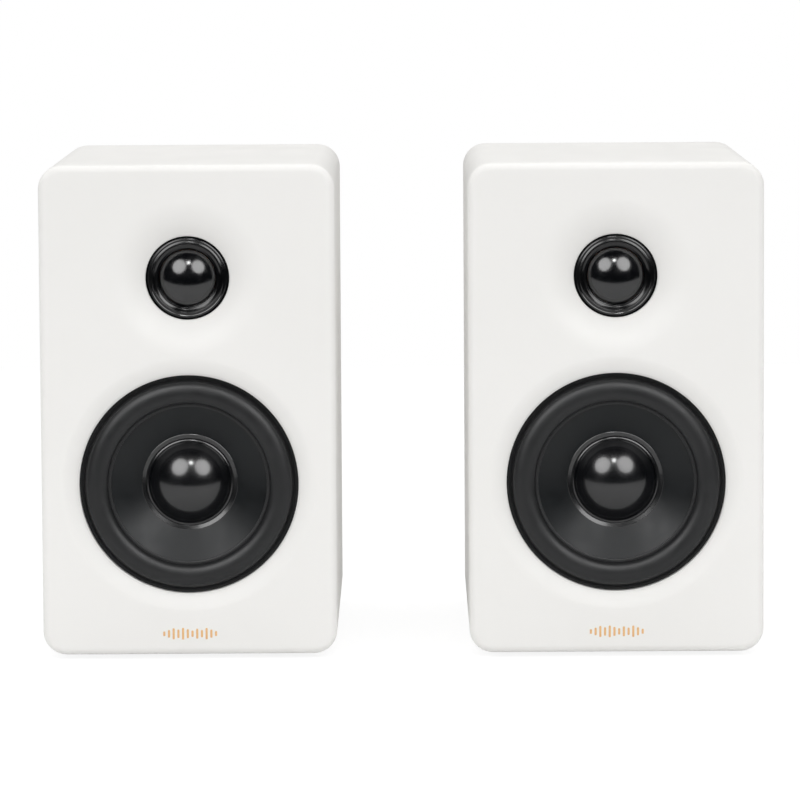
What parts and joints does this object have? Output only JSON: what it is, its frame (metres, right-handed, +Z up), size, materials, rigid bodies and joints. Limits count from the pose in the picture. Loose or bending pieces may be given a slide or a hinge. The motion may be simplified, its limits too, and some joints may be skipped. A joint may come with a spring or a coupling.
{
  "type": "desktop speakers",
  "caption": "White two-way powered desktop speakers: rounded box cabinets with a shallow-horn dome tweeter above a cone woofer, rear bass ports, and the amplifier in one cabinet.",
  "frame": {"origin": "on the table, at the bottom centre of the pair's bounding box, midway between the cabinets and between baffle and rear", "axes": "+X to the viewer's right facing the baffles, +Y from the baffles to the rear, +Z up"},
  "size_m": [0.245, 0.147, 0.168],
  "materials": {
    "white_lacquer": "satin white lacquer on fibreboard",
    "rubber": "matte black",
    "cone": "satin dark grey, filled polypropylene",
    "gloss_black": "polished black",
    "black_plastic": "fine matte grain",
    "black_plate": "black powder coat",
    "steel": "zinc-plated, turned",
    "ferrite": "dull dark grey, ground faces",
    "copper": "enamelled copper wire on a thin former",
    "nickel": "nickel plate",
    "aluminium": "extruded, plain",
    "spider_cloth": "resin-stiffened cloth",
    "silk": "coated black silk",
    "circuit_board": "green solder resist",
    "wadding": "white polyester fibre"
  },
  "bodies": {
    "left_speaker": {"left_front_baffle": "white_lacquer", "left_cabinet_wrap": "white_lacquer", "left_rear_panel": "white_lacquer", "left_bass_port": "black_plastic", "left_front_foot": "rubber", "left_rear_foot": "rubber", "left_woofer_basket": "black_plate", "left_woofer_surround": "rubber", "left_woofer_spider": "spider_cloth", "left_woofer_top_plate": "steel", "left_woofer_magnet": "ferrite", "left_woofer_yoke": "steel", "left_tweeter_ring": "gloss_black", "left_tweeter_surround": "silk", "left_tweeter_cup": "steel", "left_tweeter_magnet": "nickel", "left_tweeter_pole_cap": "steel", "left_wadding": "wadding", "left_link_socket": "black_plastic", "left_input_plate": "black_plate"},
    "right_speaker": {"right_front_baffle": "white_lacquer", "right_cabinet_wrap": "white_lacquer", "right_rear_panel": "white_lacquer", "right_bass_port": "black_plastic", "right_front_foot": "rubber", "right_rear_foot": "rubber", "right_woofer_basket": "black_plate", "right_woofer_surround": "rubber", "right_woofer_spider": "spider_cloth", "right_woofer_top_plate": "steel", "right_woofer_magnet": "ferrite", "right_woofer_yoke": "steel", "right_tweeter_ring": "gloss_black", "right_tweeter_surround": "silk", "right_tweeter_cup": "steel", "right_tweeter_magnet": "nickel", "right_tweeter_pole_cap": "steel", "right_wadding": "wadding", "right_link_socket": "black_plastic", "right_amp_plate": "black_plate", "right_mains_inlet": "black_plastic", "right_switch_body": "black_plastic", "right_aux_socket": "black_plastic", "right_usb_socket": "black_plastic", "right_amp_board": "circuit_board", "right_heatsink": "aluminium", "right_power_board": "circuit_board", "right_touch_board": "circuit_board"},
    "left_woofer_diaphragm": {"left_woofer_cone": "cone", "left_woofer_dust_cap": "gloss_black", "left_woofer_voice_coil": "copper"},
    "left_tweeter_diaphragm": {"left_tweeter_dome": "silk", "left_tweeter_voice_coil": "copper"},
    "right_woofer_diaphragm": {"right_woofer_cone": "cone", "right_woofer_dust_cap": "gloss_black", "right_woofer_voice_coil": "copper"},
    "right_tweeter_diaphragm": {"right_tweeter_dome": "silk", "right_tweeter_voice_coil": "copper"},
    "power_rocker": {"right_switch_rocker": "gloss_black"}
  },
  "joints": [
    {"name": "right_speaker_place", "type": "slide", "parent": "left_speaker", "child": "right_speaker", "axis": [1, 0, 0], "range_m": [-0.04, 0.3]},
    {"name": "left_woofer_stroke", "type": "slide", "parent": "left_speaker", "child": "left_woofer_diaphragm", "axis": [0, -1, 0], "range_m": [-0.003, 0.003], "stiffness_N_per_m": 800, "deforming": ["left_woofer_surround", "left_woofer_spider"]},
    {"name": "left_tweeter_stroke", "type": "slide", "parent": "left_speaker", "child": "left_tweeter_diaphragm", "axis": [0, -1, 0], "range_m": [-0.0003, 0.0003], "stiffness_N_per_m": 500, "deforming": ["left_tweeter_surround"]},
    {"name": "right_woofer_stroke", "type": "slide", "parent": "right_speaker", "child": "right_woofer_diaphragm", "axis": [0, -1, 0], "range_m": [-0.003, 0.003], "stiffness_N_per_m": 800, "deforming": ["right_woofer_surround", "right_woofer_spider"]},
    {"name": "right_tweeter_stroke", "type": "slide", "parent": "right_speaker", "child": "right_tweeter_diaphragm", "axis": [0, -1, 0], "range_m": [-0.0003, 0.0003], "stiffness_N_per_m": 500, "deforming": ["right_tweeter_surround"]},
    {"name": "power_switch", "type": "hinge", "parent": "right_speaker", "child": "power_rocker", "pos_m": [0.0945, 0.0684, 0.06], "axis": [1, 0, 0], "range_deg": [0, 20]}
  ]
}
